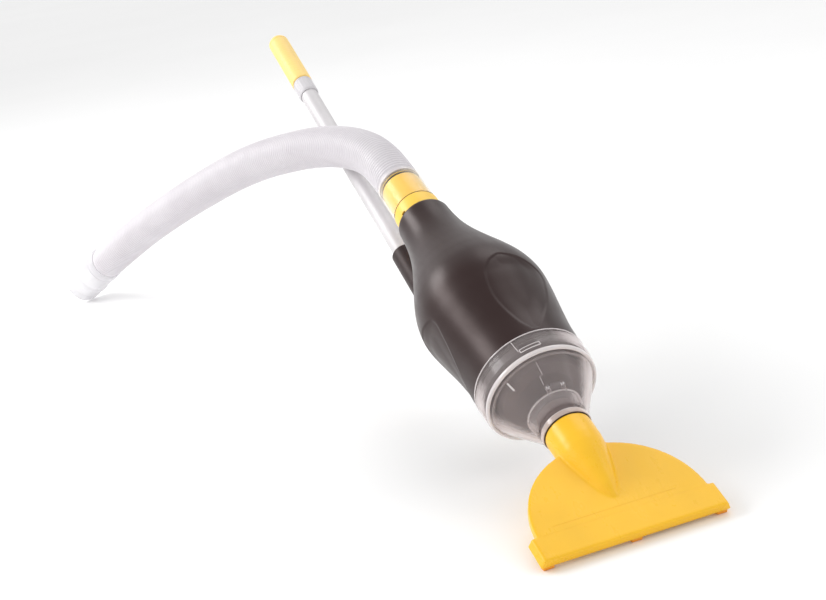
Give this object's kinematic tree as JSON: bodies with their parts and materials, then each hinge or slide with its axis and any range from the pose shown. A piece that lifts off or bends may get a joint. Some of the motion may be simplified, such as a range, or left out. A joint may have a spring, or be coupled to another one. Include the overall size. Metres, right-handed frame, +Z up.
{
  "type": "pool cleaner",
  "caption": "Hand-held cordless pool cleaner with a fan-shaped nozzle, clear debris chamber, bottle-shaped pump housing, telescopic pole and corrugated discharge hose.",
  "frame": {"origin": "centre of the pole grip, on the pole axis", "axes": "+Y from the nozzle lip towards the grip along the floor, +Z up from the floor that the nozzle stands on, X across along the lip; the tool axis lies in the YZ plane, 24 degrees above the floor"},
  "size_m": [0.415, 1.2502, 0.3728],
  "materials": {
    "nozzle_yellow": "satin moulded plastic",
    "foot_orange": "soft matt plastic",
    "clear_shell": "clear moulded plastic",
    "clear_sleeve": "clear soft plastic",
    "hose_clear": "translucent corrugated plastic",
    "housing_brown": "glossy moulded plastic",
    "inner_black": "matt moulded plastic",
    "inner_white": "matt moulded plastic",
    "outlet_yellow": "satin moulded plastic",
    "seal_rubber": "black rubber",
    "flap_rubber": "dark grey rubber",
    "steel": "bright steel",
    "contact_metal": "plated spring steel",
    "cell_case": "printed metal jacket",
    "motor_metal": "plated steel can",
    "glass_tube": "clear glass",
    "pole_aluminium": "anodised, pale",
    "collar_grey": "pale grey moulded plastic",
    "grip_yellow": "matt moulded plastic"
  },
  "bodies": {
    "housing": {"bulb_housing": "housing_brown", "chamber_seal": "seal_rubber", "pump_cover": "inner_black", "cover_screws": "steel", "strainer_cone": "inner_black", "capsule_lid": "inner_black", "shaft_seal": "seal_rubber", "lid_seal": "seal_rubber", "capsule_body": "inner_black", "lid_screws": "steel", "motor_can": "motor_metal", "motor_clamp": "inner_white", "battery_cells": "cell_case", "cell_holder": "inner_white", "contact_springs": "contact_metal", "contact_plates": "contact_metal", "reed_switch": "glass_tube", "switch_base": "inner_black", "outlet_spigot": "outlet_yellow", "spigot_o_ring": "seal_rubber", "hose_inlet_cuff": "clear_sleeve", "pole_socket": "inner_black", "socket_screws": "steel", "pole_outer_tube": "pole_aluminium", "button_spring": "contact_metal", "discharge_hose": "hose_clear", "hose_end_cuff": "clear_sleeve"},
    "chamber": {"debris_chamber": "clear_shell", "intake_tube": "clear_shell", "flap_pin": "steel"},
    "flap": {"flap_valve": "flap_rubber"},
    "nozzle": {"nozzle_head": "nozzle_yellow", "nozzle_feet": "foot_orange", "nozzle_o_ring": "seal_rubber"},
    "rotor": {"motor_shaft": "steel", "impeller": "inner_white"},
    "lock_ring": {"outlet_lock_ring": "outlet_yellow"},
    "slider": {"switch_slider": "outlet_yellow", "slider_magnet": "steel"},
    "button": {"pole_button": "steel"},
    "pole_inner": {"pole_inner_tube": "pole_aluminium", "pole_glide": "inner_white", "pole_grip": "grip_yellow", "grip_cap": "grip_yellow"},
    "pole_collar": {"pole_lock_collar": "collar_grey"}
  },
  "joints": [
    {"name": "chamber_twist", "type": "hinge", "parent": "housing", "child": "chamber", "pos_m": [0, -0.70088, -0.24548], "axis": [0, 0.9135, 0.4067], "range_deg": [0, 20]},
    {"name": "nozzle_swivel", "type": "hinge", "parent": "chamber", "child": "nozzle", "pos_m": [0, -0.75843, -0.27111], "axis": [0, 0.9135, 0.4067], "continuous": true},
    {"name": "flap_swing", "type": "hinge", "parent": "chamber", "child": "flap", "pos_m": [0, -0.75007, -0.23433], "axis": [1, 0, 0], "range_deg": [0, 16]},
    {"name": "pump_spin", "type": "hinge", "parent": "housing", "child": "rotor", "pos_m": [0, -0.67804, -0.23532], "axis": [0, 0.9135, 0.4067], "continuous": true},
    {"name": "outlet_lock", "type": "hinge", "parent": "housing", "child": "lock_ring", "pos_m": [0, -0.44052, -0.12956], "axis": [0, 0.9135, 0.4067], "range_deg": [0, 30]},
    {"name": "switch_slide", "type": "slide", "parent": "housing", "child": "slider", "axis": [0, 0.9135, 0.4067], "range_m": [0, 0.008]},
    {"name": "pole_button_press", "type": "slide", "parent": "housing", "child": "button", "axis": [0, -0.4656, 0.885], "range_m": [0, 0.004], "stiffness_N_per_m": 600, "springref_m": -0.004, "deforming": ["button_spring"]},
    {"name": "pole_telescope", "type": "slide", "parent": "housing", "child": "pole_inner", "axis": [0, 0.885, 0.4656], "range_m": [0, 0.3]},
    {"name": "collar_twist", "type": "hinge", "parent": "housing", "child": "pole_collar", "pos_m": [0, -0.05752, -0.03026], "axis": [0, 0.885, 0.4656], "range_deg": [0, 90]}
  ]
}
